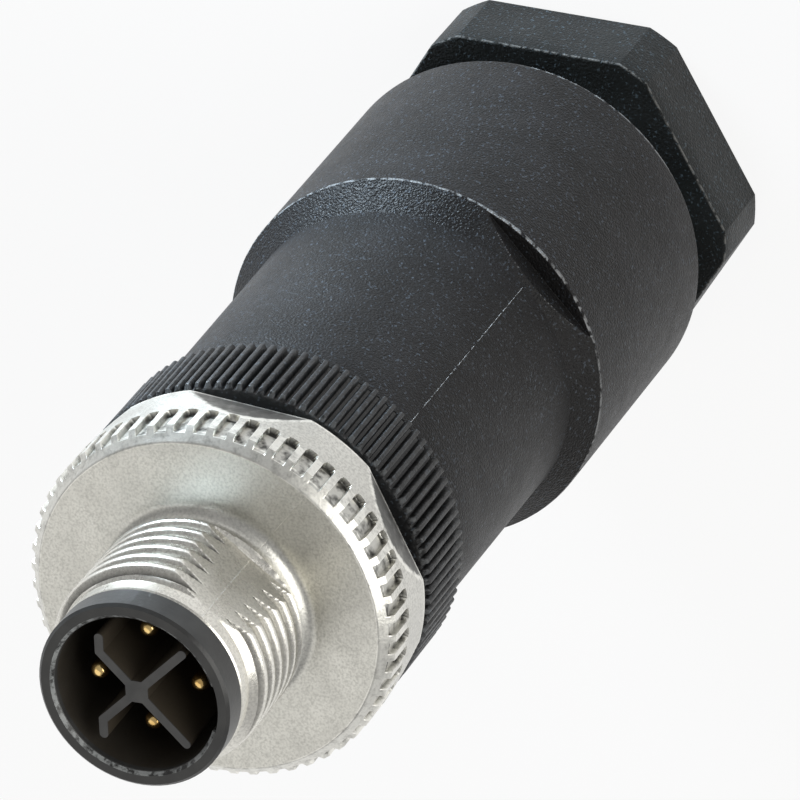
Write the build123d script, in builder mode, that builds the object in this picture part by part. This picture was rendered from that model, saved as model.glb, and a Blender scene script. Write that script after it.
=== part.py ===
from build123d import *
import os
from math import atan2, cos, degrees, radians, sin, sqrt

# Straight M12 power connector, male, field-wired: 3 contacts plus protective earth.
# The connector stands on the rear face of its pressure nut. Z runs up along the
# axis to the mating face, and the origin is the centre of the nut's rear face.
# Lengths are millimetres, angles are degrees from +X towards +Y seen from above.

os.makedirs("parts", exist_ok=True)

# Clearances
fit_gap = 0.03          # pieces that are pressed or moulded together
run_gap = 0.05          # pieces that turn or slide in one another
face_gap = 0.10         # end faces that meet
loose_gap = 0.15        # rubber and loosely held pieces
cut_overrun = 1.0       # cuts start this far outside the solid

# Pressure nut
nut_across_flats = 20.8
nut_corner_radius = 11.5
nut_head_height = 5.5
nut_rear_chamfer = 0.42
nut_front_chamfer = 0.12
nut_neck_length = 8.1
nut_neck_chamfer = 0.30
nut_thread_radius = 8.5
nut_neck_bore_radius = 7.3
nut_turned = -32.1      # a corner of the hexagon
cable_bore_radius = 6.5
cable_bore_mouth = 0.5
cone_length = 1.4       # inner cone that closes the cage's fingers
neck_relief_length = 3.0
neck_relief_depth = 0.35

# Housing
nut_open = 3.2          # how far the nut is backed out of the housing
housing_length = 34.65
small_front_radius = 9.60
small_rear_radius = 9.75
large_front_radius = 11.05
large_rear_radius = 11.14
large_length = 15.80
shoulder_length = 1.55
rear_edge_round = 0.45
flats_across = 19.95
flat_shoulder_inset = 0.10
flats_turned = -49.5
front_edge_round = 0.15
bore_mouth_chamfer = 0.35
seal_seat_radius = 7.9
chamber_radius = 8.2
web_thickness = 1.4
web_bore_radius = 6.3
front_lead_length = 1.2
holder_thread_length = 4.8
holder_thread_runout = 0.6

# Gland pieces
washer_thickness = 0.6
washer_outer_radius = 8.4
nut_close_travel = 3.1  # from the pose shown to the nut's stop
cage_base_height = 1.5
cage_finger_length = 5.0
cage_finger_radius = 7.0
cage_bore_radius = 6.0
cage_finger_count = 10
cage_slot_width = 1.1
cage_tip_chamfer = 0.45
cage_tooth_height = 0.35
cage_tooth_length = 0.5
cage_slot_end = 0.4     # solid length left below the cage's shoulder
seal_height = 4.9
seal_wall = 2.75        # from the seal's outside to the cable
seal_groove_radius = 0.35
seal_edge_chamfer = 0.25

# Terminal holder
holder_thread_radius = 8.0
holder_collar_height = 4.8
collar_chamfer = 0.30
tower_radius = 6.3
tower_length = 7.6
holder_hub_radius = 7.05
housing_seal_section = 1.0
holder_socket_depth = 1.9
pocket_mouth_chamfer = 0.35
screw_hole_gap = 0.25
barrel_inset = 0.6      # barrels end this far inside the tower

# Grip ring
grip_width = 4.95
grip_tip_radius = 10.30
grip_root_radius = 9.93
grip_rib_count = 104
grip_rib_turned = -47.6
grip_rib_tip = 0.22     # width of a rib at its tip
grip_rib_foot = 0.42
grip_rib_sink = 0.03    # foot of a rib inside the ring
grip_boss_radius = 8.7
grip_boss_height = 0.75
grip_dish_depth = 0.25

# Coupling ring
ring_play = 0.10
band_length = 2.3       # smooth band with the six tool faces
ring_radius = 10.40
tool_face_radius = 9.80 # distance of a tool face from the axis at its rear edge
tool_face_count = 6
tool_faces_turned = -5.6
rim_bevel_length = 0.70
flange_face_radius = 9.67
knurl_length = 2.53     # front face of the flange to the closed end of a groove
knurl_count = 56
knurl_turned = -53.75
knurl_groove_width = 0.70
knurl_depth = 0.32
thread_radius = 5.95
thread_length = 5.35
thread_end_chamfer = 0.45
undercut_radius = 5.42
undercut_length = 0.05 # between the thread and the fillet
flange_fillet = 0.80
lead_radius = 5.35
lead_chamfer_length = 0.54
lead_length = 0.92
sleeve_bore_radius = 5.02
ring_web = 0.85
ring_cavity_radius = 7.60
sleeve_edge_chamfer = 0.10

# Contact carrier
lip_radius = 5.36
lip_length = 1.66
lip_chamfer = 0.16
well_radius = 4.50
well_mouth_chamfer = 0.20
well_depth = 9.0
keyway_width = 2.7
keyway_depth = 0.24
pin_guide_depth = 1.0
wall_thickness = 0.48
wall_recess = 0.45      # top of the cross wall below the rim
wall_arm_reach = 3.75
wall_kink_reach = 2.83
wall_hook_reach = 2.85
wall_core_width = 1.25
snap_groove_radius = 4.62
snap_ring_radius = 6.30
snap_ring_thickness = 0.50
snap_ring_opening = 70.0

# Contacts
contact_circle_radius = 2.75
pin_radius = 0.50
pin_tip_round = 0.45
pin_recess = 2.05       # pin tip below the rim
earth_pin_lead = 0.40   # the earth pin stands this much higher
shank_radius = 0.75
barrel_radius = 1.52
barrel_length = 8.0
wire_bore_radius = 0.90
wire_bore_depth = 6.6
screw_radius = 0.95
screw_from_end = 3.0    # screw axis above the barrel's rear end
screw_head_below = 0.25 # screw head below the tower's surface
screw_slot_width = 0.35
screw_slot_depth = 0.45
screw_chamfer = 0.12
plate_thickness = 0.30
screw_hole_depth = 0.40 # floor of the tapped hole beyond the barrel's axis
screw_travel = 0.80     # open, as shown, to fully closed

# Stations along the axis, from the rear face upwards
nut_face_z = nut_head_height
housing_rear_z = nut_face_z + nut_open
housing_front_z = housing_rear_z + housing_length
large_front_z = housing_rear_z + large_length
small_rear_z = large_front_z + shoulder_length
neck_end_z = nut_face_z + nut_neck_length
washer_rear_z = neck_end_z + run_gap
washer_front_z = washer_rear_z + washer_thickness
cage_shoulder_z = washer_front_z + nut_close_travel + run_gap
finger_tip_z = cage_shoulder_z - cage_finger_length
cage_front_z = cage_shoulder_z + cage_base_height
seal_rear_z = cage_front_z + face_gap
seal_front_z = seal_rear_z + seal_height
web_rear_z = seal_front_z + face_gap
web_front_z = web_rear_z + web_thickness
holder_seat_z = housing_front_z - front_lead_length
grip_rear_z = housing_front_z + face_gap
collar_front_z = grip_rear_z - housing_seal_section - face_gap
collar_rear_z = collar_front_z - holder_collar_height
tower_rear_z = collar_rear_z - tower_length
grip_front_z = grip_rear_z + grip_width
boss_front_z = grip_front_z + grip_boss_height
hub_front_z = boss_front_z - grip_dish_depth
ring_rear_z = boss_front_z + face_gap + 0.5 * ring_play
flange_face_z = ring_rear_z + band_length + knurl_length
thread_rear_z = flange_face_z + flange_fillet + undercut_length + thread_end_chamfer
thread_front_z = thread_rear_z + thread_length
sleeve_front_z = thread_front_z + lead_chamfer_length + lead_length
lip_rear_z = sleeve_front_z + ring_play
rim_z = lip_rear_z + lip_length
well_floor_z = rim_z - well_depth
web_ring_z = flange_face_z - ring_web
snap_front_z = web_ring_z - ring_play
snap_rear_z = snap_front_z - snap_ring_thickness
socket_floor_z = hub_front_z - holder_socket_depth
pin_tip_z = rim_z - pin_recess
barrel_rear_z = tower_rear_z + barrel_inset
barrel_front_z = barrel_rear_z + barrel_length
screw_z = barrel_rear_z + screw_from_end

# Places along a terminal screw, from the connector's axis outwards
screw_floor = contact_circle_radius - screw_hole_depth
plate_inner = screw_floor + screw_travel + run_gap
screw_outer = tower_radius - screw_head_below

# Radii that follow from a mating piece
tube_radius = sleeve_bore_radius - run_gap
front_lead_radius = holder_hub_radius + fit_gap + housing_seal_section + loose_gap
washer_bore_radius = cage_finger_radius + loose_gap
cage_base_radius = seal_seat_radius - run_gap - fit_gap
seal_radius = seal_seat_radius - loose_gap
seal_bore_radius = seal_radius - seal_wall
pocket_radius = barrel_radius + fit_gap
pocket_wall = contact_circle_radius * sqrt(2) - 2 * pocket_radius

# Names and directions of the four contacts
contact_angles = {"1": 0.0, "2": -90.0, "3": 180.0, "pe": 90.0}


def ring_sketch(outer, inner):
    """Flat ring in the active sketch."""
    Circle(outer)
    Circle(inner, mode=Mode.SUBTRACT)


# Pressure nut: hexagon head with cut corners, threaded neck and inner cone
with BuildPart() as pressure_nut:
    with BuildSketch():
        RegularPolygon(nut_across_flats / 2, 6, major_radius=False, rotation=nut_turned)
        Circle(nut_corner_radius, mode=Mode.INTERSECT)
    extrude(amount=nut_head_height)
    rear_edges = pressure_nut.edges().group_by(Axis.Z)[0]
    chamfer(rear_edges, length=nut_rear_chamfer)
    front_edges = pressure_nut.edges().group_by(Axis.Z)[-1]
    chamfer(front_edges, length=nut_front_chamfer)
    with BuildSketch(Plane.XY.offset(nut_face_z)):
        Circle(nut_thread_radius - neck_relief_depth)
    extrude(amount=neck_relief_length)
    with BuildSketch(Plane.XY.offset(nut_face_z + neck_relief_length)):
        Circle(nut_thread_radius)
    extrude(amount=nut_neck_length - neck_relief_length)
    neck_end = pressure_nut.faces().sort_by(Axis.Z)[-1]
    chamfer(neck_end.edges(), length=nut_neck_chamfer)
    with BuildSketch(Plane.XZ):
        with BuildLine():
            Polyline(
                (0, -cut_overrun),
                (cable_bore_radius + cable_bore_mouth, -cut_overrun),
                (cable_bore_radius + cable_bore_mouth, 0),
                (cable_bore_radius, cable_bore_mouth),
                (cable_bore_radius, finger_tip_z - nut_close_travel - cone_length),
                (nut_neck_bore_radius, finger_tip_z - nut_close_travel),
                (nut_neck_bore_radius, neck_end_z + cut_overrun),
                (0, neck_end_z + cut_overrun),
                close=True,
            )
        make_face()
    revolve(axis=Axis.Z, mode=Mode.SUBTRACT)
pressure_nut.part.label = "pressure_nut"

# Thrust washer between the nut's neck and the cage
with BuildPart() as thrust_washer:
    with BuildSketch(Plane.XY.offset(washer_rear_z)):
        ring_sketch(washer_outer_radius, washer_bore_radius)
    extrude(amount=washer_thickness)
thrust_washer.part.label = "thrust_washer"

# Clamping cage: base ring on the seal, spring fingers reaching into the nut
with BuildPart() as clamping_cage:
    with BuildSketch(Plane.XZ):
        with BuildLine():
            Polyline(
                (cage_bore_radius, cage_front_z),
                (cage_base_radius, cage_front_z),
                (cage_base_radius, cage_shoulder_z),
                (cage_finger_radius, cage_shoulder_z),
                (cage_finger_radius, finger_tip_z + cage_tip_chamfer),
                (cage_finger_radius - cage_tip_chamfer, finger_tip_z),
                (cage_bore_radius - cage_tooth_height, finger_tip_z),
                (cage_bore_radius - cage_tooth_height, finger_tip_z + cage_tooth_length),
                (cage_bore_radius, finger_tip_z + cage_tooth_length + cage_tooth_height),
                close=True,
            )
        make_face()
    revolve(axis=Axis.Z)
    with BuildSketch(Plane.XY.offset(finger_tip_z - cut_overrun)):
        with PolarLocations(cage_finger_radius, cage_finger_count):
            Rectangle(cage_finger_radius, cage_slot_width)
    extrude(amount=cut_overrun + cage_finger_length - cage_slot_end, mode=Mode.SUBTRACT)
clamping_cage.part.label = "clamping_cage"

# Cable seal: rubber sleeve with grooves round its outside
with BuildPart() as cable_seal:
    with BuildSketch(Plane.XY.offset(seal_rear_z)):
        ring_sketch(seal_radius, seal_bore_radius)
    extrude(amount=seal_height)
    seal_rims = cable_seal.edges().filter_by(GeomType.CIRCLE)
    chamfer(seal_rims, length=seal_edge_chamfer)
    with BuildSketch(Plane.XZ):
        for share in (1 / 3, 2 / 3):
            with Locations((seal_radius, seal_rear_z + share * seal_height)):
                Circle(seal_groove_radius)
    revolve(axis=Axis.Z, mode=Mode.SUBTRACT)
cable_seal.part.label = "cable_seal"

# Housing: slim front, cone shoulder, wide rear, two tool flats, stepped bore
with BuildPart() as housing:
    with BuildSketch(Plane.XZ):
        with BuildLine():
            Polyline(
                (0, housing_rear_z),
                (large_rear_radius, housing_rear_z),
                (large_front_radius, large_front_z),
                (small_rear_radius, small_rear_z),
                (small_front_radius, housing_front_z),
                (0, housing_front_z),
                close=True,
            )
        make_face()
    revolve(axis=Axis.Z)
    outer_rims = housing.edges().filter_by(GeomType.CIRCLE).sort_by(Axis.Z)
    fillet(outer_rims[0], radius=rear_edge_round)
    fillet(outer_rims[-1], radius=front_edge_round)
    with BuildSketch(Plane.XY.offset(large_front_z + flat_shoulder_inset)):
        with PolarLocations(flats_across, 2, start_angle=flats_turned):
            Rectangle(flats_across, 2 * large_rear_radius)
    extrude(amount=shoulder_length, mode=Mode.SUBTRACT)
    with BuildSketch(Plane.XZ):
        with BuildLine():
            Polyline(
                (0, housing_rear_z - cut_overrun),
                (nut_thread_radius + run_gap + bore_mouth_chamfer, housing_rear_z - cut_overrun),
                (nut_thread_radius + run_gap + bore_mouth_chamfer, housing_rear_z),
                (nut_thread_radius + run_gap, housing_rear_z + bore_mouth_chamfer),
                (nut_thread_radius + run_gap, cage_shoulder_z),
                (seal_seat_radius, cage_shoulder_z),
                (seal_seat_radius, web_rear_z),
                (web_bore_radius, web_rear_z),
                (web_bore_radius, web_front_z),
                (chamber_radius, web_front_z),
                (chamber_radius, holder_seat_z - holder_thread_length - holder_thread_runout),
                (holder_thread_radius + run_gap, holder_seat_z - holder_thread_length),
                (holder_thread_radius + run_gap, holder_seat_z),
                (front_lead_radius, holder_seat_z),
                (front_lead_radius, housing_front_z + cut_overrun),
                (0, housing_front_z + cut_overrun),
                close=True,
            )
        make_face()
    revolve(axis=Axis.Z, mode=Mode.SUBTRACT)
housing.part.label = "housing"

# Terminal holder: tower with four pockets, threaded collar and hub for the carrier
with BuildPart() as terminal_holder:
    with BuildSketch(Plane.XZ):
        with BuildLine():
            Polyline(
                (0, tower_rear_z),
                (tower_radius, tower_rear_z),
                (tower_radius, collar_rear_z),
                (holder_thread_radius - collar_chamfer, collar_rear_z),
                (holder_thread_radius, collar_rear_z + collar_chamfer),
                (holder_thread_radius, collar_front_z),
                (holder_hub_radius, collar_front_z),
                (holder_hub_radius, hub_front_z),
                (tube_radius + fit_gap, hub_front_z),
                (tube_radius + fit_gap, socket_floor_z),
                (0, socket_floor_z),
                close=True,
            )
        make_face()
    revolve(axis=Axis.Z)
    with BuildSketch(Plane.XY.offset(tower_rear_z)):
        with PolarLocations(contact_circle_radius, len(contact_angles)):
            Circle(pocket_radius)
    extrude(amount=barrel_front_z + fit_gap - tower_rear_z, mode=Mode.SUBTRACT)
    mouths = terminal_holder.faces().sort_by(Axis.Z)[0].inner_wires().edges()
    chamfer(mouths, length=min(pocket_mouth_chamfer, 0.45 * pocket_wall))
    with BuildSketch(Plane.XY.offset(tower_rear_z)):
        with PolarLocations(contact_circle_radius, len(contact_angles)):
            Circle(shank_radius + fit_gap)
    extrude(amount=socket_floor_z - tower_rear_z, mode=Mode.SUBTRACT)
    for angle in contact_angles.values():
        outwards = (cos(radians(angle)), sin(radians(angle)), 0)
        screw_plane = Plane(origin=(0, 0, screw_z), x_dir=(0, 0, 1), z_dir=outwards)
        with BuildSketch(screw_plane.offset(contact_circle_radius)):
            Circle(screw_radius + screw_hole_gap)
        extrude(amount=tower_radius, mode=Mode.SUBTRACT)
terminal_holder.part.label = "terminal_holder"

# Grip ring: fine straight ribs round the rear end of the terminal holder
with BuildPart() as grip_ring:
    with BuildSketch(Plane.XY.offset(grip_rear_z)):
        Circle(grip_root_radius)
        rib_height = grip_tip_radius - grip_root_radius
        rib_side = degrees(atan2(rib_height, (grip_rib_foot - grip_rib_tip) / 2))
        with PolarLocations(grip_root_radius - grip_rib_sink, grip_rib_count, start_angle=grip_rib_turned):
            Trapezoid(
                grip_rib_foot,
                rib_height + grip_rib_sink,
                rib_side,
                rotation=-90,
                align=(Align.CENTER, Align.MIN),
            )
    extrude(amount=grip_width)
    with BuildSketch(Plane.XY.offset(grip_front_z)):
        Circle(grip_boss_radius)
    extrude(amount=grip_boss_height)
    with BuildSketch(Plane.XY.offset(grip_rear_z)):
        Circle(holder_hub_radius + fit_gap)
    extrude(amount=grip_width + grip_boss_height, mode=Mode.SUBTRACT)
grip_ring.part.label = "grip_ring"

# Seal between the housing's front bore and the holder's neck
with BuildPart() as housing_seal:
    with BuildSketch(Plane.XZ):
        with Locations(
            (
                holder_hub_radius + fit_gap + housing_seal_section / 2,
                grip_rear_z - face_gap / 2 - housing_seal_section / 2,
            )
        ):
            Circle(housing_seal_section / 2)
    revolve(axis=Axis.Z)
housing_seal.part.label = "housing_seal"

# Coupling ring: groove for the coarse knurl, open on the bevel and round at its end
with BuildPart() as knurl_groove:
    groove_end_z = flange_face_z - knurl_length + knurl_groove_width / 2
    groove_floor = Plane(
        origin=(ring_radius - knurl_depth, 0, 0),
        x_dir=(0, 1, 0),
        z_dir=(1, 0, 0),
    )
    with BuildSketch(groove_floor):
        with Locations((0, groove_end_z)):
            Circle(knurl_groove_width / 2)
            Rectangle(knurl_groove_width, knurl_length, align=(Align.CENTER, Align.MIN))
    extrude(amount=2 * knurl_depth)

# Coupling ring: wedge that leaves one tool face on the smooth band
with BuildPart() as tool_face:
    face_rise = ring_radius - tool_face_radius
    with BuildSketch(Plane.XZ):
        with BuildLine():
            Polyline(
                (tool_face_radius, ring_rear_z),
                (tool_face_radius + 2 * face_rise, ring_rear_z),
                (tool_face_radius + 2 * face_rise, ring_rear_z + 2 * band_length),
                close=True,
            )
        make_face()
    extrude(amount=ring_radius / 2, both=True)

# Coupling ring: threaded sleeve, flange with knurl, band with tool faces, rear cavity
with BuildPart() as coupling_ring:
    with BuildSketch(Plane.XZ):
        with BuildLine():
            Polyline(
                (flange_face_radius, flange_face_z),
                (ring_radius, flange_face_z - rim_bevel_length),
                (ring_radius, ring_rear_z),
                (ring_cavity_radius, ring_rear_z),
                (ring_cavity_radius, web_ring_z),
                (sleeve_bore_radius, web_ring_z),
                (sleeve_bore_radius, sleeve_front_z),
                (lead_radius - sleeve_edge_chamfer, sleeve_front_z),
                (lead_radius, sleeve_front_z - sleeve_edge_chamfer),
                (lead_radius, thread_front_z + lead_chamfer_length),
                (thread_radius, thread_front_z),
                (thread_radius, thread_rear_z),
                (undercut_radius, thread_rear_z - thread_end_chamfer),
                (undercut_radius, flange_face_z + flange_fillet),
            )
            CenterArc(
                (undercut_radius + flange_fillet, flange_face_z + flange_fillet),
                flange_fillet,
                start_angle=180,
                arc_size=90,
            )
            Line(
                (undercut_radius + flange_fillet, flange_face_z),
                (flange_face_radius, flange_face_z),
            )
        make_face()
    revolve(axis=Axis.Z)
    with PolarLocations(0, tool_face_count, start_angle=tool_faces_turned):
        add(tool_face.part, mode=Mode.SUBTRACT)
    with PolarLocations(0, knurl_count, start_angle=knurl_turned + 180 / knurl_count):
        add(knurl_groove.part, mode=Mode.SUBTRACT)
coupling_ring.part.label = "coupling_ring"

# Snap ring that keeps the coupling ring on the carrier
with BuildPart() as snap_ring:
    with BuildSketch(Plane.XY.offset(snap_rear_z)):
        ring_sketch(snap_ring_radius, snap_groove_radius + fit_gap)
        with BuildLine():
            half_opening = radians(snap_ring_opening / 2)
            reach = 2 * snap_ring_radius
            Polyline(
                (0, 0),
                (reach * cos(half_opening), reach * sin(half_opening)),
                (reach * cos(half_opening), -reach * sin(half_opening)),
                close=True,
            )
        make_face(mode=Mode.SUBTRACT)
    extrude(amount=snap_ring_thickness)
snap_ring.part.label = "snap_ring"

# Contact carrier: collar with a lip, deep well, bent cross wall between the pins
with BuildPart() as contact_carrier:
    with BuildSketch(Plane.XZ):
        with BuildLine():
            Polyline(
                (0, socket_floor_z + fit_gap),
                (tube_radius, socket_floor_z + fit_gap),
                (tube_radius, snap_rear_z - fit_gap),
                (snap_groove_radius, snap_rear_z - fit_gap),
                (snap_groove_radius, snap_front_z + fit_gap),
                (tube_radius, snap_front_z + fit_gap),
                (tube_radius, lip_rear_z),
                (lip_radius, lip_rear_z),
                (lip_radius, rim_z - lip_chamfer),
                (lip_radius - lip_chamfer, rim_z),
                (well_radius + well_mouth_chamfer, rim_z),
                (well_radius, rim_z - well_mouth_chamfer),
                (well_radius, well_floor_z),
                (0, well_floor_z),
                close=True,
            )
        make_face()
    revolve(axis=Axis.Z)
    with BuildSketch(Plane.XY.offset(well_floor_z)):
        Circle(well_radius + keyway_depth)
        with Locations((0, -well_radius)):
            Rectangle(keyway_width, well_radius, mode=Mode.INTERSECT)
    extrude(amount=well_depth, mode=Mode.SUBTRACT)
    kink = wall_kink_reach * cos(radians(45))
    arm_end = wall_arm_reach * cos(radians(45))
    with BuildSketch(Plane.XY.offset(well_floor_z)):
        for side in (1, -1):
            with BuildLine():
                Polyline(
                    (side * wall_hook_reach, kink),
                    (side * kink, kink),
                    (-side * arm_end, -arm_end),
                )
            trace(line_width=wall_thickness)
            with Locations((side * wall_hook_reach, kink), (-side * arm_end, -arm_end)):
                Circle(wall_thickness / 2)
        Rectangle(wall_core_width, wall_core_width)
    extrude(amount=well_depth - wall_recess)
    with BuildSketch(Plane.XY.offset(well_floor_z)):
        with PolarLocations(contact_circle_radius, len(contact_angles)):
            Circle(pin_radius + fit_gap)
    extrude(amount=-well_depth, mode=Mode.SUBTRACT)
    with BuildSketch(Plane.XY.offset(well_floor_z - pin_guide_depth)):
        with PolarLocations(contact_circle_radius, len(contact_angles)):
            Circle(shank_radius + fit_gap)
    extrude(amount=-well_depth, mode=Mode.SUBTRACT)
contact_carrier.part.label = "contact_carrier"


def build_contact(name, angle):
    """Turned contact: domed pin, shank in the carrier, clamp barrel with its wire bore."""
    tip_z = pin_tip_z + (earth_pin_lead if name == "pe" else 0)
    step_z = well_floor_z - pin_guide_depth - fit_gap
    with BuildPart() as contact:
        with BuildSketch(Plane.XY):
            Circle(pin_radius)
        extrude(amount=tip_z)
        tip_edge = contact.edges().sort_by(Axis.Z)[-1]
        fillet(tip_edge, radius=pin_tip_round)
        split(bisect_by=Plane.XY.offset(barrel_rear_z), keep=Keep.TOP)
        with BuildSketch(Plane.XY.offset(barrel_rear_z)):
            Circle(shank_radius)
        extrude(amount=step_z - barrel_rear_z)
        with BuildSketch(Plane.XY.offset(barrel_rear_z)):
            Circle(barrel_radius)
        extrude(amount=barrel_length)
        with BuildSketch(Plane.XY.offset(barrel_rear_z)):
            Circle(wire_bore_radius)
        extrude(amount=wire_bore_depth, mode=Mode.SUBTRACT)
        with BuildSketch(Plane.YZ.offset(screw_floor - contact_circle_radius)):
            with Locations((0, screw_z)):
                Circle(screw_radius + run_gap)
        extrude(amount=barrel_radius + wire_bore_radius, mode=Mode.SUBTRACT)
    turned = Location((0, 0, 0), (0, 0, angle))
    return contact.part.moved(turned * Location((contact_circle_radius, 0, 0)))


def build_plate():
    """Round plate that a terminal screw presses on the wire, lying towards +X."""
    with BuildPart() as plate:
        with BuildSketch(Plane.YZ.offset(plate_inner)):
            with Locations((0, screw_z)):
                Circle(screw_radius - run_gap)
        extrude(amount=plate_thickness)
    return plate.part


def build_screw():
    """Slotted terminal screw without a head, lying towards +X."""
    with BuildPart() as screw:
        with BuildSketch(Plane.YZ.offset(plate_inner + plate_thickness + fit_gap)):
            with Locations((0, screw_z)):
                Circle(screw_radius)
        extrude(amount=screw_outer - plate_inner - plate_thickness - fit_gap)
        outer_edge = screw.edges().sort_by(Axis.X)[-1]
        chamfer(outer_edge, length=screw_chamfer)
        with BuildSketch(Plane.YZ.offset(screw_outer)):
            with Locations((0, screw_z)):
                Rectangle(4 * screw_radius, screw_slot_width)
        extrude(amount=-screw_slot_depth, mode=Mode.SUBTRACT)
    return screw.part


# Contacts with their terminal screws and clamp plates
parts = [
    pressure_nut.part,
    thrust_washer.part,
    clamping_cage.part,
    cable_seal.part,
    housing.part,
    terminal_holder.part,
    grip_ring.part,
    housing_seal.part,
    coupling_ring.part,
    snap_ring.part,
    contact_carrier.part,
]
for name, angle in contact_angles.items():
    turned = Location((0, 0, 0), (0, 0, angle))
    pieces = {
        "contact": build_contact(name, angle),
        "terminal_screw": build_screw().moved(turned),
        "clamp_plate": build_plate().moved(turned),
    }
    for kind, piece in pieces.items():
        piece.label = f"{kind}_{name}"
        parts.append(piece)

for piece in parts:
    export_step(piece, f"parts/{piece.label}.step")
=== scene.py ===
from math import cos, pi, radians, sin
import bmesh
import bpy
import numpy as np
from mathutils import Matrix, Vector


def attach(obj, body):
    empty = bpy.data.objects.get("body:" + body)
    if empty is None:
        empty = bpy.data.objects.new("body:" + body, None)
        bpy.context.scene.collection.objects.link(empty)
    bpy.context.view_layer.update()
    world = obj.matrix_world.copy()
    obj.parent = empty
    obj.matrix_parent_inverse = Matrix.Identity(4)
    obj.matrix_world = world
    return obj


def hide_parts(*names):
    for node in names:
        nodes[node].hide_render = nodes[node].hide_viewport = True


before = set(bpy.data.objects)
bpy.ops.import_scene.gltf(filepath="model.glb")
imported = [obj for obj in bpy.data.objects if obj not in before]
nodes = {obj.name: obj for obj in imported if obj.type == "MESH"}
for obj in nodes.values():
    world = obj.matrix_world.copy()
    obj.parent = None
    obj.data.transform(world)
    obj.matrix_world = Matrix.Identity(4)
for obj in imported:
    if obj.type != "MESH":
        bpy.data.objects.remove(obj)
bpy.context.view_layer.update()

MM = 0.001
scene = bpy.context.scene


# Node helpers

def new_material(name):
    mat = bpy.data.materials.new(name)
    mat.use_nodes = True
    tree = mat.node_tree
    return mat, tree, tree.nodes["Principled BSDF"]


def link(tree, a, b):
    tree.links.new(a, b)


def object_place(tree):
    """Object coordinates, in metres from the part's origin."""
    return tree.nodes.new("ShaderNodeTexCoord").outputs["Object"]


def noise(tree, scale, detail=2.0, rough=0.5, vector=None):
    node = tree.nodes.new("ShaderNodeTexNoise")
    node.inputs["Scale"].default_value = scale
    node.inputs["Detail"].default_value = detail
    node.inputs["Roughness"].default_value = rough
    link(tree, object_place(tree) if vector is None else vector, node.inputs["Vector"])
    return node.outputs["Fac"]


def ramp(tree, value, low, high, out_low=0.0, out_high=1.0):
    node = tree.nodes.new("ShaderNodeMapRange")
    node.clamp = True
    node.inputs["From Min"].default_value = low
    node.inputs["From Max"].default_value = high
    node.inputs["To Min"].default_value = out_low
    node.inputs["To Max"].default_value = out_high
    link(tree, value, node.inputs["Value"])
    return node.outputs["Result"]


def math_node(tree, kind, a, b=None):
    node = tree.nodes.new("ShaderNodeMath")
    node.operation = kind
    for socket, value in zip(node.inputs, (a, b)):
        if value is None:
            continue
        if isinstance(value, (int, float)):
            socket.default_value = value
        else:
            link(tree, value, socket)
    return node.outputs["Value"]


def mix_color(tree, factor, a, b):
    node = tree.nodes.new("ShaderNodeMix")
    node.data_type = "RGBA"
    link(tree, factor, node.inputs["Factor"])
    for socket, value in ((node.inputs[6], a), (node.inputs[7], b)):
        if isinstance(value, tuple):
            socket.default_value = (*value, 1.0)
        else:
            link(tree, value, socket)
    return node.outputs[2]


def bump(tree, height, distance):
    """Bump with its full strength, its distance in metres."""
    node = tree.nodes.new("ShaderNodeBump")
    node.inputs["Strength"].default_value = 1.0
    node.inputs["Distance"].default_value = distance
    link(tree, height, node.inputs["Height"])
    return node.outputs["Normal"]


def mask(tree, name, broken_by=None):
    """Mask painted on a piece's points, broken up by a second value where one is given."""
    node = tree.nodes.new("ShaderNodeAttribute")
    node.attribute_name = name
    if broken_by is None:
        return node.outputs["Fac"]
    return math_node(tree, "MULTIPLY", node.outputs["Fac"], broken_by)


def scaled(color, factor):
    return tuple(min(1.0, factor * c) for c in color)


# Materials

def moulded_plastic(name, dark, light, grain, grain_depth, rough,
                    wear_and_painted_highlight_color=(0.16, 0.165, 0.17), specular=0.4):
    """Moulded plastic: raised grain, bluish flecks that are painted glints, edges lightened by scuffing
    and painted highlight, painted shade in recesses.

    The grain is in cells per metre and its depth in metres.
    """
    mat, tree, shader = new_material(name)
    shader.inputs["Specular IOR Level"].default_value = specular
    drift = noise(tree, 240.0, 3.0)
    # Bluish flecks of lighter colour: painted glints of the grain's sparkle.
    painted_glint = noise(tree, grain * 0.7, 1.0)
    color = mix_color(tree, ramp(tree, drift, 0.35, 0.65), dark, light)
    painted_glint_color = (4.5 * light[0], 5.5 * light[1], 6.5 * light[2])
    color = mix_color(tree, ramp(tree, painted_glint, 0.62, 0.72, 0.0, 0.6), color, painted_glint_color)
    # Painted shade: darker colour where the painted_shade mask is set, in recesses and on flats.
    color = mix_color(tree, mask(tree, "painted_shade"), color, scaled(dark, 0.25))
    # Lighter colour on edges: scuffing with painted highlight.
    wear_and_painted_highlight = mask(tree, "wear_and_painted_highlight", ramp(tree, noise(tree, 2600.0, 3.0), 0.42, 0.54))
    color = mix_color(tree, wear_and_painted_highlight, color, wear_and_painted_highlight_color)
    link(tree, color, shader.inputs["Base Color"])
    gloss = ramp(tree, noise(tree, 900.0, 2.0), 0.3, 0.7, rough - 0.03, rough + 0.04)
    link(tree, gloss, shader.inputs["Roughness"])
    cells = tree.nodes.new("ShaderNodeTexVoronoi")
    cells.feature = "SMOOTH_F1"
    cells.inputs["Scale"].default_value = grain
    cells.inputs["Smoothness"].default_value = 0.5
    link(tree, object_place(tree), cells.inputs["Vector"])
    fine = noise(tree, grain * 0.9, 1.0, 0.5)
    height = math_node(tree, "ADD", math_node(tree, "MULTIPLY", cells.outputs["Distance"], -0.7), fine)
    link(tree, bump(tree, height, grain_depth), shader.inputs["Normal"])
    return mat


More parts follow.
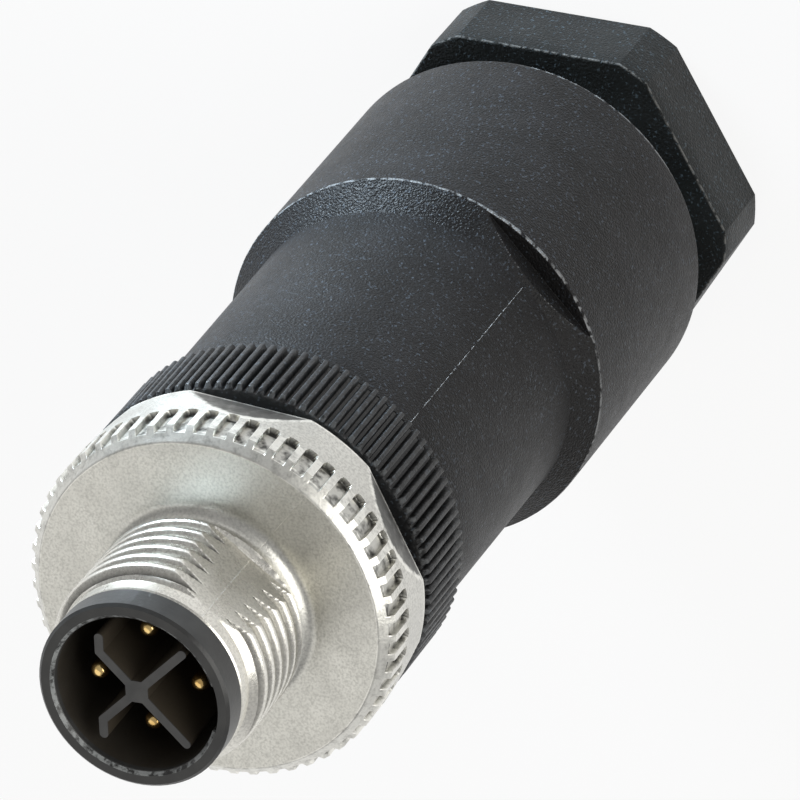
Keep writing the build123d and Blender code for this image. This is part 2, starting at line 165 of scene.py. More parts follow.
def plated_metal(name, dark, light, grain, grain_depth, rough):
    """Satin plating over a cast surface: pitted grain, faint patchy tone, edges brightened by scuffing and
    painted highlight, painted shade in recesses and on tool faces.
    """
    mat, tree, shader = new_material(name)
    shader.inputs["Metallic"].default_value = 1.0
    patches = ramp(tree, noise(tree, 330.0, 4.0, 0.6), 0.30, 0.70)
    pits = ramp(tree, noise(tree, grain, 2.0, 0.6), 0.30, 0.60)
    color = mix_color(tree, patches, dark, light)
    color = mix_color(tree, pits, scaled(dark, 0.80), color)
    # Painted shade: darker colour in recesses and on tool faces.
    shade = mask(tree, "painted_shade", ramp(tree, noise(tree, 1500.0, 2.0), 0.25, 0.50, 0.72, 1.0))
    color = mix_color(tree, shade, color, scaled(dark, 0.13))
    # Brighter colour on edges: scuffing with painted highlight.
    wear_and_painted_highlight = mask(tree, "wear_and_painted_highlight", ramp(tree, noise(tree, 1800.0, 2.0), 0.32, 0.55))
    color = mix_color(tree, wear_and_painted_highlight, color, scaled(light, 1.3))
    link(tree, color, shader.inputs["Base Color"])
    gloss = ramp(tree, noise(tree, 700.0, 3.0), 0.3, 0.7, rough - 0.04, rough + 0.06)
    link(tree, gloss, shader.inputs["Roughness"])
    link(tree, bump(tree, noise(tree, grain, 3.0, 0.65), grain_depth), shader.inputs["Normal"])
    return mat


def rubber(name, color):
    """Dull rubber with a little dust."""
    mat, tree, shader = new_material(name)
    dust = ramp(tree, noise(tree, 1500.0, 3.0), 0.45, 0.75, 0.0, 0.35)
    link(tree, mix_color(tree, dust, color, (0.12, 0.12, 0.115)), shader.inputs["Base Color"])
    link(tree, ramp(tree, noise(tree, 500.0), 0.3, 0.7, 0.66, 0.82), shader.inputs["Roughness"])
    link(tree, bump(tree, noise(tree, 5200.0, 3.0), 0.000012), shader.inputs["Normal"])
    return mat


def gold(name):
    """Gold over turned brass: two warm tones and faint turning lines round the axis."""
    mat, tree, shader = new_material(name)
    shader.inputs["Metallic"].default_value = 1.0
    tone = ramp(tree, noise(tree, 900.0, 2.0), 0.35, 0.65)
    color = mix_color(tree, tone, (0.80, 0.50, 0.17), (0.93, 0.68, 0.30))
    link(tree, color, shader.inputs["Base Color"])
    link(tree, ramp(tree, noise(tree, 2400.0, 2.0), 0.3, 0.7, 0.14, 0.24), shader.inputs["Roughness"])
    stretch = tree.nodes.new("ShaderNodeMapping")
    stretch.inputs["Scale"].default_value = (400.0, 400.0, 12000.0)
    link(tree, object_place(tree), stretch.inputs["Vector"])
    lines = noise(tree, 1.0, 1.0, 0.5, stretch.outputs["Vector"])
    link(tree, bump(tree, lines, 0.000004), shader.inputs["Normal"])
    return mat


WELL_R = (0.00446, 0.00454)
RIM_EDGE_R, RIM_EDGE_WIDTH = 0.00462, 0.00009
WALL_TOP_Z = (0.06345, 0.06352)


def carrier_plastic(name):
    """Smooth black plastic: glossy rim with a worn inner edge, brownish well, paler wall top.

    Its zones go by radius and height, in metres.
    """
    mat, tree, shader = new_material(name)
    shader.inputs["Specular IOR Level"].default_value = 0.45
    place_at = tree.nodes.new("ShaderNodeSeparateXYZ")
    link(tree, object_place(tree), place_at.inputs["Vector"])
    x, y, z = place_at.outputs
    squares = [math_node(tree, "POWER", part, 2.0) for part in (x, y)]
    radius = math_node(tree, "SQRT", math_node(tree, "ADD", *squares))
    outside = ramp(tree, radius, *WELL_R)
    top = ramp(tree, z, *WALL_TOP_Z)
    inner_edge = math_node(tree, "COMPARE", radius, RIM_EDGE_R)
    inner_edge.node.inputs[2].default_value = RIM_EDGE_WIDTH
    drift = ramp(tree, noise(tree, 700.0, 3.0), 0.35, 0.65)
    rim = mix_color(tree, drift, (0.018, 0.018, 0.018), (0.030, 0.030, 0.029))
    wall = mix_color(tree, drift, (0.046, 0.046, 0.046), (0.070, 0.069, 0.068))
    color = mix_color(tree, top, (0.050, 0.040, 0.028), wall)
    color = mix_color(tree, outside, color, rim)
    specks = ramp(tree, noise(tree, 2100.0, 4.0, 0.65), 0.42, 0.56)
    lighter = math_node(tree, "MULTIPLY", math_node(tree, "MULTIPLY", inner_edge, top), specks)
    color = mix_color(tree, lighter, color, (0.24, 0.25, 0.25))
    link(tree, color, shader.inputs["Base Color"])
    link(tree, ramp(tree, outside, 0.0, 1.0, 0.55, 0.34), shader.inputs["Roughness"])
    link(tree, bump(tree, noise(tree, 4200.0, 3.0, 0.6), 0.000012), shader.inputs["Normal"])
    return mat


# The body's pale edge colour mainly serves the painted glint on the housing's rear edge.
black_body = moulded_plastic(
    "black_plastic_body", dark=(0.0100, 0.0096, 0.0096), light=(0.0150, 0.0146, 0.0150),
    grain=8200.0, grain_depth=0.00005, rough=0.42, wear_and_painted_highlight_color=(0.46, 0.47, 0.48), specular=0.12,
)
black_nut = moulded_plastic(
    "black_plastic_nut", dark=(0.0110, 0.0122, 0.0122), light=(0.0160, 0.0176, 0.0178),
    grain=7600.0, grain_depth=0.00004, rough=0.42, wear_and_painted_highlight_color=(0.30, 0.30, 0.29), specular=0.14,
)
black_grip = moulded_plastic(
    "black_plastic_grip", dark=(0.008, 0.008, 0.0085), light=(0.014, 0.014, 0.0145),
    grain=6400.0, grain_depth=0.00002, rough=0.38, wear_and_painted_highlight_color=(0.12, 0.125, 0.13),
)
black_carrier = carrier_plastic("black_plastic_carrier")
cage_grey = moulded_plastic(
    "grey_plastic_cage", dark=(0.045, 0.046, 0.05), light=(0.065, 0.066, 0.07),
    grain=5000.0, grain_depth=0.000016, rough=0.45,
)
washer_cream = moulded_plastic(
    "cream_plastic_washer", dark=(0.52, 0.50, 0.43), light=(0.60, 0.58, 0.51),
    grain=3000.0, grain_depth=0.000006, rough=0.35, wear_and_painted_highlight_color=(0.66, 0.64, 0.58),
)
nickel = plated_metal(
    "satin_nickel", dark=(0.60, 0.59, 0.55), light=(0.70, 0.69, 0.645),
    grain=7200.0, grain_depth=0.000012, rough=0.34,
)
nickel_thread = plated_metal(
    "satin_nickel_thread", dark=(0.76, 0.74, 0.68), light=(0.86, 0.84, 0.78),
    grain=6800.0, grain_depth=0.000008, rough=0.28,
)
zinc = plated_metal(
    "zinc_steel", dark=(0.50, 0.51, 0.53), light=(0.62, 0.63, 0.65),
    grain=5200.0, grain_depth=0.000006, rough=0.30,
)
spring = plated_metal(
    "spring_steel", dark=(0.28, 0.28, 0.30), light=(0.38, 0.38, 0.40),
    grain=4200.0, grain_depth=0.000005, rough=0.32,
)
seal_black = rubber("seal_rubber", (0.020, 0.020, 0.021))
gold_plate = gold("gold_plating")


# Mesh helpers, in millimetres

MERGE_GAP, SLIVER = 0.0004, 0.0002


def place(name, verts, faces, body, mat, wear_and_painted_highlight=None, painted_shade=None, sharp=30.0, merge=False):
    """Mesh piece in millimetres that rides on a body, smooth but for edges over the sharp angle."""
    mesh = bpy.data.meshes.new(name)
    mesh.from_pydata((np.asarray(verts) * MM).tolist(), [], faces)
    for key, values in (("wear_and_painted_highlight", wear_and_painted_highlight), ("painted_shade", painted_shade)):
        if values is not None:
            layer = mesh.attributes.new(key, "FLOAT", "POINT")
            layer.data.foreach_set("value", np.asarray(values, dtype=np.float32))
    bm = bmesh.new()
    bm.from_mesh(mesh)
    if merge:
        bmesh.ops.remove_doubles(bm, verts=bm.verts, dist=MERGE_GAP * MM)
        bmesh.ops.dissolve_degenerate(bm, edges=bm.edges, dist=SLIVER * MM)
    bmesh.ops.recalc_face_normals(bm, faces=bm.faces)
    bm.to_mesh(mesh)
    bm.free()
    mesh.polygons.foreach_set("use_smooth", [True] * len(mesh.polygons))
    mesh.set_sharp_from_angle(angle=radians(sharp))
    mesh.materials.append(mat)
    obj = bpy.data.objects.new(name, mesh)
    scene.collection.objects.link(obj)
    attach(obj, body)
    return obj


def round_points(rows, angles, extra):
    """Points and extra values of rows of (radius, height, value, ...) round the axis."""
    points = np.empty((len(rows), len(angles), 3))
    values = np.zeros((extra, len(rows), len(angles)))
    for i, (radius, height, *others) in enumerate(rows):
        points[i, :, 0] = radius * np.cos(angles)
        points[i, :, 1] = radius * np.sin(angles)
        points[i, :, 2] = height
        for k, value in enumerate(others):
            values[k, i] = value
    return points.reshape(-1, 3), values.reshape(extra, -1)


def ring_piece(name, rows, angles, body, mat):
    """Closed ring from rows of (radius, height, edge lightening from scuffing and painted highlight,
    painted shade), numbers or one value per angle.
    """
    points, (wear_and_painted_highlight, painted_shade) = round_points(rows, angles, 2)
    ids = np.arange(len(points)).reshape(len(rows), len(angles))
    right = np.roll(ids, -1, axis=1)
    up, up_right = np.roll(ids, -1, axis=0), np.roll(right, -1, axis=0)
    faces = np.stack([ids, right, up_right, up], -1).reshape(-1, 4).tolist()
    return place(name, points, faces, body, mat, wear_and_painted_highlight, painted_shade)


def thread_piece(name, low, high, shape, limit, before, after, angles, turned, body, mat):
    """Right-hand 1 mm thread whose mesh rows follow the helix, closed by plain rings.

    shape is (place along one pitch, radius), limit(z, angles) caps the radius, and before and
    after are the rings below and above the thread. The angles run once round.
    """
    steps, radii = np.array(shape)
    rows = []
    for turn in range(int(low) - 2, int(high) + 2):
        for step in steps[:-1]:
            z = turn + step + (angles - turned) / (2 * pi)
            inside = np.clip(z, low, high)
            at = np.mod(inside - (angles - turned) / (2 * pi), 1.0)
            full = np.interp(at, steps, radii)
            cap = limit(inside, angles)
            # Painted shade, darkest at the thread's root.
            root_painted_shade = ((radii.max() - full) / (radii.max() - radii.min())) ** 2
            root_painted_shade = np.where(cap < full + 0.01, 0.0, root_painted_shade)
            if z.max() > low and z.min() < high:
                rows.append((np.minimum(full, cap), inside, root_painted_shade))
    rows = before + rows + after
    points, (painted_shade,) = round_points(rows, angles, 1)
    ids = np.arange(len(points)).reshape(len(rows), len(angles))
    up = np.roll(ids, -1, axis=0)
    faces = np.stack([ids[:, :-1], ids[:, 1:], up[:, 1:], up[:, :-1]], -1).reshape(-1, 4).tolist()
    return place(name, points, faces, body, mat, painted_shade=painted_shade, sharp=38.0, merge=True)


SEAM_ROOT, SEAM_WEAR = -0.02, 0.6


def seam(name, line, turned, width, proud, body, mat):
    """Fine ridge that a mould's parting leaves, along (radius, height) points at one angle."""
    line = np.array(line, float)
    run = np.gradient(line, axis=0)
    run /= np.linalg.norm(run, axis=1)[:, None]
    out = np.stack([run[:, 1], -run[:, 0]], 1)
    if out[:, 0].mean() + out[:, 1].mean() < 0:
        out = -out
    verts = []
    for (r, z), (nr, nz) in zip(line, out):
        for side, lift in ((-1, SEAM_ROOT), (-0.35, proud), (0.35, proud), (1, SEAM_ROOT)):
            radius, height = r + lift * nr, z + lift * nz
            turn = turned + side * width / 2 / radius
            verts.append((radius * cos(turn), radius * sin(turn), height))
    faces = []
    for i in range(len(line) - 1):
        for k in range(4):
            a, b = 4 * i + k, 4 * i + (k + 1) % 4
            faces.append((a, b, b + 4, a + 4))
    faces += [(0, 1, 2, 3), tuple(4 * (len(line) - 1) + k for k in range(4))]
    return place(name, verts, faces, body, mat, [SEAM_WEAR] * len(verts))


def near(angles, centre, step):
    """Angle of each column from the nearest of the directions centre + k * step."""
    return np.mod(angles - centre + step / 2, step) - step / 2


# Coupling ring: flange with knurl, band with tool faces

RING_Z, BAND_Z, FLANGE_Z = 49.30, 51.60, 54.13
RING_R, FACE_R, GROOVE_R = 10.40, 9.80, 10.08
BORE_R, UNDERCUT_R, SLEEVE_Z = 5.02, 5.42, 54.98
FACE_RISE = 0.26087
GROOVES, GROOVE_HALF, GROOVE_END = 56, 0.358, BAND_Z + 0.35
BEVEL_Z, BEVEL_SLOPE = 53.43, 0.73 / 0.70
FILLET_AT, FILLET_R = (6.22, 54.93), 0.80
PITCH = 2 * pi / GROOVES
offsets = (-0.375, -0.352, -0.335, -0.30, -0.18, 0.0, 0.18, 0.30, 0.335, 0.352, 0.375, 0.42, 0.5833, 0.747)
centres = radians(-53.75) + PITCH * (np.arange(GROOVES) + 0.5)
ring_angles = (centres[:, None] + np.array(offsets) / RING_R).ravel()
across = near(ring_angles, centres[0], PITCH) * RING_R
face_turn = near(ring_angles, radians(-5.6), pi / 3)


def knurl_row(z, base, wear_and_painted_highlight=0.0):
    """Row of the knurl at a height: tool faces, grooves with a round rear end, and their masks: lighter
    edges from scuffing and painted highlight, painted shade in the grooves and on the tool faces.
    """
    face = (FACE_R + (z - RING_Z) * FACE_RISE) / np.cos(face_turn)
    radius = np.minimum(base, face)
    # Lighter colour on tool-face and groove edges: painted highlight with scuffing.
    lighter = np.where(np.abs(face - base) < 0.05, 0.8, wear_and_painted_highlight if z < GROOVE_END else max(wear_and_painted_highlight, 0.55))
    away = np.abs(across) if z >= GROOVE_END else np.hypot(across, z - GROOVE_END)
    cut = np.clip((GROOVE_HALF - away) / 0.02, 0.0, 1.0)
    bottom = np.minimum(radius, GROOVE_R)
    lighter = np.where((away > 0.345) & (away < 0.39) & (radius > GROOVE_R), 0.9, lighter)
    # Painted shade on the tool faces and in the grooves.
    tool_face_painted_shade = 0.92 * np.clip((base - face) / 0.03, 0.0, 1.0)
    painted_shade = np.maximum(np.where(radius > GROOVE_R, cut, 0.0), tool_face_painted_shade)
    return radius + (bottom - radius) * cut, z, lighter, painted_shade


def fillet(angles):
    """(radius, height) points of the round corner between flange and sleeve."""
    (r, z), turns = FILLET_AT, np.radians(angles)
    return [(r - FILLET_R * sin(a), z - FILLET_R * cos(a)) for a in turns]


def flange_rows():
    rear = np.minimum(RING_R, FACE_R / np.cos(face_turn))
    # Lighter colour on the flange's edges and bevel: painted highlight with scuffing.
    rows = [(7.60, RING_Z), (8.60, RING_Z), (rear - 0.10, RING_Z, 0.5)]
    rows.append((*knurl_row(RING_Z + 0.06, RING_R)[:2], 0.9))
    band, groove_ends = np.arange(49.55, 51.5, 0.14), np.arange(51.52, 52.0, 0.035)
    rows += [knurl_row(z, RING_R) for z in (*band, *groove_ends, 52.05, 52.4, 52.8, 53.15, 53.38)]
    for z in (53.43, 53.47, 53.56, 53.65, 53.74, 53.83, 53.90, 53.93, 53.97, 54.04, 54.10):
        rows.append(knurl_row(z, RING_R - (z - BEVEL_Z) * BEVEL_SLOPE, 0.9 if z < 53.5 else 0.3))
    rows.append((9.64, FLANGE_Z, 1.0))
    rows += [(r, FLANGE_Z) for r in (9.58, 9.0, 8.2, 7.4, 6.7, 6.32)]
    rows += fillet(range(0, 91, 9))
    rows += [(UNDERCUT_R, SLEEVE_Z), (BORE_R, SLEEVE_Z), (BORE_R, 53.28), (7.60, 53.28)]
    return rows


flange = ring_piece(
    "coupling_ring_flange", flange_rows(), ring_angles, "coupling_ring_body", nickel,
)
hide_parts("coupling_ring")


# Coupling ring: sleeve with its thread, cut to a flat on both sides of the mould's parting

PARTING = radians(-37.7)
THREAD_TOP, LIP_R = 61.32, 5.35


def sleeve_limit(z, angles):
    """Radius that the run-in, the run-out and the two flats leave to the thread."""
    rear = UNDERCUT_R + np.clip(z - SLEEVE_Z, 0, None) * 1.18
    front = LIP_R + np.clip(THREAD_TOP - z, 0, None) * 1.11
    turn = near(angles, PARTING, pi)
    distance = 5.235 + (z - 56.0) * 0.025 + np.clip(55.4 - z, 0, None) * 1.5
    flat = distance / np.cos(np.clip(turn, -1.2, 1.2))
    return np.minimum(np.minimum(rear, front), flat)


on_flat = np.radians(np.arange(-8.0, 8.0, 2.0))
flat_end = np.radians(np.arange(8.0, 31.0, 0.5))
between = np.radians(np.arange(33.0, 148.0, 2.3))
half = np.concatenate([on_flat, flat_end, between, pi - flat_end[::-1]])
sleeve_angles = PARTING + np.concatenate([half, half + pi, [half[0] + 2 * pi]])
ridge = (
    (0.0, 0.10, 0.20, 0.28, 0.33, 0.38, 0.45, 0.52, 0.56,
     0.60, 0.63, 0.66, 0.70, 0.74, 0.81, 0.88, 0.94, 1.0),
    (5.94, 5.95, 5.945, 5.92, 5.89, 5.84, 5.71, 5.57, 5.50,
     5.45, 5.44, 5.45, 5.50, 5.57, 5.71, 5.84, 5.90, 5.94),
)
sleeve_rear = [(BORE_R, SLEEVE_Z), (UNDERCUT_R, SLEEVE_Z)]
sleeve_front = [(LIP_R, 61.7), (LIP_R, 62.12), (5.25, 62.24), (BORE_R, 62.24)]
thread_start = radians(-15) - 2 * pi * 0.315
thread_piece(
    "coupling_ring_sleeve", SLEEVE_Z, THREAD_TOP, ridge, sleeve_limit, sleeve_rear, sleeve_front,
    sleeve_angles, thread_start, "coupling_ring_body", nickel_thread,
)
flange_line = [(9.66, 54.12)] + [(r, FLANGE_Z) for r in (8.8, 8.0, 7.2, 6.3)] + fillet(range(10, 81, 10))
flat_line = [(5.225, 55.6), (5.247, 56.5), (5.297, 58.5), (5.347, 60.5), (LIP_R, 61.3), (LIP_R, 62.1)]
for side, turned in (("front", PARTING), ("back", PARTING + pi)):
    seam(
        f"coupling_ring_seam_{side}", flange_line, turned, 0.055, 0.016,
        "coupling_ring_body", nickel,
    )
    seam(
        f"coupling_ring_flash_{side}", flat_line, turned, 0.07, 0.025,
        "coupling_ring_body", nickel_thread,
    )


# Grip ring with straight ribs

RIBS, RIB_R, RIB_FOOT_R = 104, 10.30, 9.93
GRIP_BORE_R, GRIP_REAR, GRIP_FRONT, HUB_R = 7.08, 43.45, 48.40, 8.70
RIB_PITCH = 2 * pi / RIBS
rib_offsets = (-0.215, -0.175, -0.122, -0.095, -0.05, 0.05, 0.095, 0.122, 0.175, 0.215, 0.312)
rib_centres = radians(-47.6) + RIB_PITCH * np.arange(RIBS)
rib_angles = (rib_centres[:, None] + np.array(rib_offsets) / 10.0).ravel()
rib_across = np.abs(near(rib_angles, rib_centres[0], RIB_PITCH)) * 10.0
rib_radius = np.interp(
    rib_across, (0.0, 0.05, 0.095, 0.122, 0.215, 0.4),
    (RIB_R, RIB_R, 10.285, 10.25, RIB_FOOT_R, RIB_FOOT_R),
)
# Lighter colour on rib edges and rib ends: painted highlight with scuffing; painted shade at the rib feet.
rib_edge_wear_and_painted_highlight = np.where((rib_across < 0.13) & (rib_across > 0.06), 0.25, 0.0)
rib_painted_shade = np.clip((10.2 - rib_radius) / 0.25, 0.0, 1.0)
rib_end_wear_and_painted_highlight = np.where(rib_across < 0.2, 0.6, 0.1)
grip_rows = [(GRIP_BORE_R, GRIP_REAR), (9.30, GRIP_REAR), (np.minimum(rib_radius, 9.90), GRIP_REAR)]
grip_rows += [(rib_radius - 0.10, 43.47, rib_edge_wear_and_painted_highlight)]
grip_rows += [(rib_radius, z, rib_edge_wear_and_painted_highlight, rib_painted_shade) for z in (43.58, 45.0, 46.6, 48.16)]
grip_rows += [(rib_radius - 0.02, 48.22, rib_end_wear_and_painted_highlight), (np.minimum(rib_radius, 10.02), 48.385, rib_end_wear_and_painted_highlight)]
grip_rows += [(9.90, GRIP_FRONT, 0.1), (9.55, GRIP_FRONT), (8.80, GRIP_FRONT), (8.72, 48.43)]
grip_rows += [(HUB_R, 48.52), (HUB_R, 49.03), (8.66, 49.11, 0.3), (8.58, 49.15, 0.3)]
grip_rows += [(7.16, 49.15), (GRIP_BORE_R, 49.07)]
grip = ring_piece("grip_ring_ribs", grip_rows, rib_angles, "carrier_body", black_grip)
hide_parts("grip_ring")


# Housing: cone shoulder cut by two tool flats

FLAT_TURN = radians(-49.5)
PAINTED_GLINT_TURN = radians(-32.0)
FLAT_R = 9.975
HOUSING_REAR, HOUSING_FRONT, SHOULDER_Z, CONE_Z = 8.70, 43.35, 24.50, 26.05
half_flat = radians(27.5)
one_side = np.concatenate([
    np.linspace(-half_flat, half_flat, 200), np.linspace(half_flat, pi - half_flat, 62)[1:-1],
])
housing_angles = FLAT_TURN + np.concatenate([one_side, pi + one_side])
flat_turn = near(housing_angles, FLAT_TURN, pi)


def housing_radius(z):
    heights = (HOUSING_REAR, SHOULDER_Z, CONE_Z, HOUSING_FRONT)
    return np.interp(z, heights, (11.14, 11.05, 9.75, 9.60))


def flat_row(z):
    """Row of the cone at a height, cut by the two tool flats."""
    flat = FLAT_R / np.cos(np.clip(flat_turn, -1.3, 1.3))
    base = housing_radius(z)
    # Lighter colour where flat meets cone: painted highlight with scuffing; painted shade on the flats.
    lighter = np.where(np.abs(flat - base) < 0.006, 0.3, 0.0)
    return np.minimum(base, flat), z, lighter, 0.35 * np.clip((base - flat) / 0.05, 0.0, 1.0)


def housing_rows():
    # Painted glint on the rear rounded edge, only on one side of the housing.
    painted_glint_side = np.clip((np.cos(housing_angles - PAINTED_GLINT_TURN) - 0.86) / 0.06, 0.0, 1.0)
    rows = [(8.90, HOUSING_REAR), (10.55, HOUSING_REAR), (10.69, HOUSING_REAR)]
    for turn, wear_and_painted_highlight in ((15, 0.0), (30, 0.0), (45, 0.0), (60, 1.0), (75, 0.35), (90, 0.0)):
        a = radians(turn)
        rows.append((10.69 + 0.45 * sin(a), 9.15 - 0.45 * cos(a), painted_glint_side * wear_and_painted_highlight))
    rows += [(housing_radius(z), z) for z in (12.0, 16.0, 20.0, 23.0, 24.40)]
    # Lighter colour on the shoulder and front edges: painted highlight with scuffing; painted shade on the
    # wall at the flats.
    rows += [(housing_radius(z), z, 0.35) for z in (24.47, 24.53)]
    wall = housing_radius(24.60)
    reached = np.clip((wall - FLAT_R / np.cos(np.clip(flat_turn, -1.3, 1.3))) / 0.02, 0.0, 1.0)
    rows += [(wall + 0.02, 24.585, 0.6 * reached), (wall - 0.03 * reached, 24.60, 0.0, 0.3 * reached)]
    rows += [(flat_row(24.60)[0] + 0.02 * reached, 24.60, 0.0, 0.5 * reached)]
    rows += [flat_row(z) for z in np.arange(24.62, 26.04, 0.045)]
    rows += [(housing_radius(z), z) for z in (26.03, 26.12, 28.0, 32.0, 36.0, 40.0, 43.15)]
    rows += [(9.575, 43.27, 0.4), (9.53, 43.33, 0.4), (9.45, HOUSING_FRONT), (8.23, HOUSING_FRONT)]
    rows += [(8.23, 42.15), (8.05, 42.15), (8.05, 37.35), (8.20, 36.75), (8.20, 25.40), (6.30, 25.40)]
    rows += [(6.30, 24.00), (7.90, 24.00), (7.90, 17.40), (8.55, 17.40), (8.55, 9.05)]
    return rows


housing = ring_piece(
    "housing_shell", housing_rows(), housing_angles, "housing_body", black_body,
)
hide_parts("housing")
for side, turned in (("front", radians(-48.4)), ("back", radians(131.6))):
    line = [(housing_radius(z) - 0.006, z) for z in (26.3, 29.0, 32.0, 35.0, 38.0, 41.0, 43.1)]
    seam(f"housing_seam_{side}", line, turned, 0.06, 0.022, "housing_body", black_body)


# Pressure nut: hexagon and threaded neck

HEX_TURN = radians(-32.1)
HEX_FLAT_R, HEX_CORNER_R, HEX_FRONT = 10.40, 11.50, 5.50
NECK_R, NECK_REAR, NECK_FRONT, NUT_BORE_R = 8.15, 8.40, 13.60, 7.30
hex_offsets = np.radians(
    [-4.9, -4.76, -4.6, -2.4, 0.0, 2.4, 4.6, 4.76, 4.9, 8.0, 14.0, 22.0, 30.0, 38.0, 46.0, 52.0]
)
hex_angles = (HEX_TURN + pi / 3 * np.arange(6)[:, None] + hex_offsets).ravel()
hex_turn = near(hex_angles, HEX_TURN + pi / 6, pi / 3)
hex_radius = np.minimum(HEX_FLAT_R / np.cos(hex_turn), HEX_CORNER_R)
# Lighter colour on the hexagon's edges: moulding burr with painted highlight.
nut_rows = [
    (6.50, 0.50), (6.56, 0.36), (6.94, 0.05), (7.04, 0.0), (9.6, 0.0),
    (hex_radius - 0.46, 0.0, 0.2), (hex_radius - 0.40, 0.02, 0.3), (hex_radius - 0.04, 0.38, 0.2),
    (hex_radius, 0.44), (hex_radius, 2.0), (hex_radius, 4.0), (hex_radius, 5.36),
    (hex_radius - 0.03, 5.45, 0.45), (hex_radius - 0.12, HEX_FRONT), (hex_radius - 0.20, HEX_FRONT),
    (9.4, HEX_FRONT), (8.30, HEX_FRONT), (8.20, 5.53), (NECK_R, 5.60), (NECK_R, NECK_REAR),
    (NUT_BORE_R, NECK_REAR), (6.50, 8.20),
]
nut = ring_piece("pressure_nut_head", nut_rows, hex_angles, "nut_body", black_nut)
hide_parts("pressure_nut")


def neck_limit(z, angles):
    """Radius that the chamfers at both ends leave to the thread."""
    rear = NECK_R + np.clip(z - NECK_REAR, 0, None)
    front = 8.20 + np.clip(NECK_FRONT - z, 0, None)
    return np.minimum(rear, front)


neck_ridge = (
    (0.0, 0.08, 0.16, 0.26, 0.37, 0.47, 0.53, 0.60, 0.70, 0.80, 0.90, 1.0),
    (8.50, 8.50, 8.50, 8.345, 8.175, 8.02, 8.02, 8.02, 8.14, 8.26, 8.38, 8.50),
)
thread_piece(
    "pressure_nut_neck", NECK_REAR, NECK_FRONT, neck_ridge, neck_limit,
    [(NUT_BORE_R, NECK_REAR), (8.10, NECK_REAR)], [(NUT_BORE_R, NECK_FRONT)],
    np.linspace(0.0, 2 * pi, 181), 0.0, "nut_body", black_nut,
)


# Solids that keep their own shape

finishes = {
    "thrust_washer": washer_cream, "clamping_cage": cage_grey, "cable_seal": seal_black,
    "housing_seal": seal_black, "terminal_holder": black_grip, "snap_ring": spring,
    "contact_carrier": black_carrier,
}
for key in ("1", "2", "3", "pe"):
    finishes[f"contact_{key}"] = gold_plate
    finishes[f"clamp_plate_{key}"] = zinc
    finishes[f"terminal_screw_{key}"] = zinc
for node, mat in finishes.items():
    mesh = nodes[node].data
    mesh.materials.clear()
    mesh.materials.append(mat)
    mesh.polygons.foreach_set("use_smooth", [True] * len(mesh.polygons))
    mesh.set_sharp_from_angle(angle=radians(28))


# Floor, lamps, world and camera

FLOOR_WHITE = 0.88


def floor_material():
    """Pale floor that the camera and mirroring surfaces see as even white, with the part's shadow."""
    mat, tree, shader = new_material("pale_floor")
    shader.inputs["Base Color"].default_value = (0.80, 0.80, 0.80, 1.0)
    shader.inputs["Roughness"].default_value = 0.9
    shader.inputs["Specular IOR Level"].default_value = 0.0
    rays = tree.nodes.new("ShaderNodeLightPath")
    seen = math_node(tree, "MAXIMUM", rays.outputs["Is Camera Ray"], rays.outputs["Is Glossy Ray"])
    seen = math_node(tree, "MAXIMUM", seen, rays.outputs["Is Transmission Ray"])
    glow = tree.nodes.new("ShaderNodeEmission")
    glow.inputs["Color"].default_value = (1.0, 1.0, 1.0, 1.0)
    mix = tree.nodes.new("ShaderNodeMixShader")
    link(tree, math_node(tree, "MULTIPLY", seen, FLOOR_WHITE), mix.inputs["Fac"])
    link(tree, shader.outputs["BSDF"], mix.inputs[1])
    link(tree, glow.outputs["Emission"], mix.inputs[2])
    link(tree, mix.outputs["Shader"], tree.nodes["Material Output"].inputs["Surface"])
    return mat


bpy.ops.mesh.primitive_plane_add(size=6.0, location=(0, 0, -0.00002))
floor = bpy.context.object
floor.name = "floor"
floor.data.materials.append(floor_material())


MIDDLE = Vector((0, 0, 0.032))


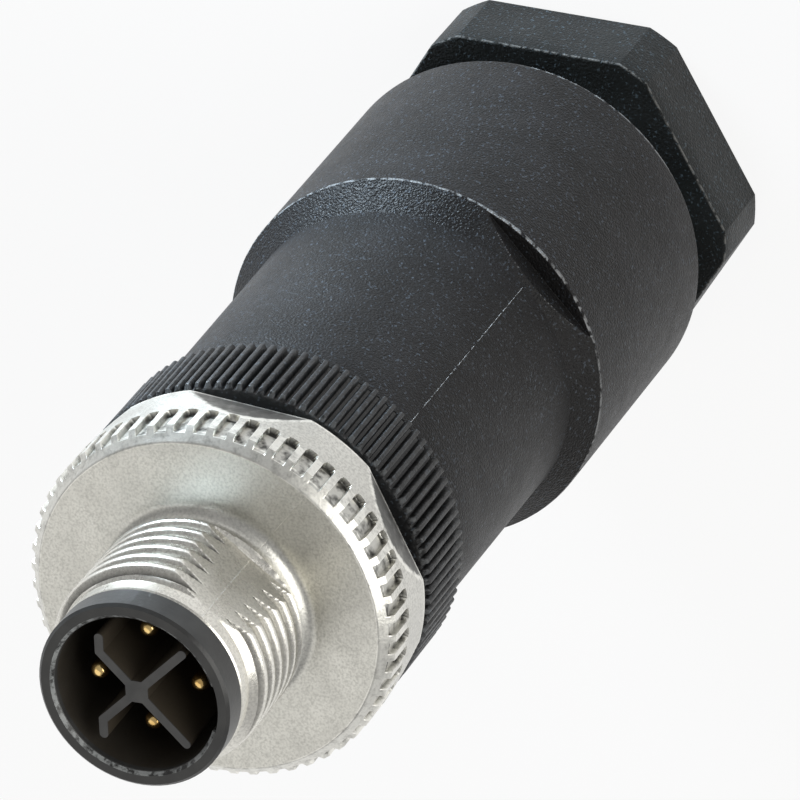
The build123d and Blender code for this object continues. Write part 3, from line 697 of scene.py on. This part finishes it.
def lamp(name, azimuth, elevation, distance, width, height, power, color, spread=180):
    """Soft box facing the part's middle: angles in degrees, lengths in metres, power in watts."""
    a, e = radians(azimuth), radians(elevation)
    way = Vector((cos(a) * cos(e), sin(a) * cos(e), sin(e)))
    data = bpy.data.lights.new(name, "AREA")
    data.shape = "RECTANGLE"
    data.size = width
    data.size_y = height
    data.energy = power
    data.color = color
    data.spread = radians(spread)
    obj = bpy.data.objects.new(name, data)
    obj.location = MIDDLE + way * distance
    obj.rotation_euler = way.to_track_quat("Z", "Y").to_euler()
    scene.collection.objects.link(obj)


WARM, COOL = (1.0, 0.99, 0.95), (0.72, 0.87, 1.0)
lamp("soft_box_right", -80, 26, distance=0.55, width=0.50, height=0.45, power=2.0, color=WARM)
lamp("soft_box_left", 36, -7, distance=0.122, width=0.05, height=0.016, power=0.06, color=COOL, spread=64)
lamp("soft_box_top", 143.6, 54.7, distance=0.60, width=0.60, height=0.50, power=0.62, color=WARM)

# Sky: bright near the horizon, like a white backdrop, and dimmer above it
world = bpy.data.worlds.new("studio")
scene.world = world
world.use_nodes = True
sky = world.node_tree
way = sky.nodes.new("ShaderNodeSeparateXYZ")
link(sky, sky.nodes.new("ShaderNodeTexCoord").outputs["Generated"], way.inputs["Vector"])
level = ramp(sky, way.outputs["Z"], low=0.07, high=0.22, out_low=0.95, out_high=0.38)
shade = sky.nodes.new("ShaderNodeCombineXYZ")
for socket in shade.inputs:
    link(sky, level, socket)
link(sky, shade.outputs["Vector"], sky.nodes["Background"].inputs["Color"])

# Camera fitted to the photo: focal length over image width, its axes, and its place in metres
FOCAL_TO_WIDTH = 8323.86 / 800
CAMERA_AT = (0.21311655, -0.15722942, 0.40258065)
cam_data = bpy.data.cameras.new("camera")
cam_data.sensor_width = 36.0
cam_data.lens = cam_data.sensor_width * FOCAL_TO_WIDTH
cam_data.clip_start = 0.01
cam_data.clip_end = 20.0
camera = bpy.data.objects.new("camera", cam_data)
right = Vector((-0.03414926, -0.92874677, -0.36913856))
down = Vector((-0.8841298, -0.14414255, 0.44445183))
ahead = Vector((-0.46599177, 0.3415441, -0.81621033))
turn = Matrix((right, -down, -ahead)).transposed()
camera.matrix_world = Matrix.Translation(CAMERA_AT) @ turn.to_4x4()
scene.collection.objects.link(camera)
scene.camera = camera

scene.view_settings.view_transform = "Standard"
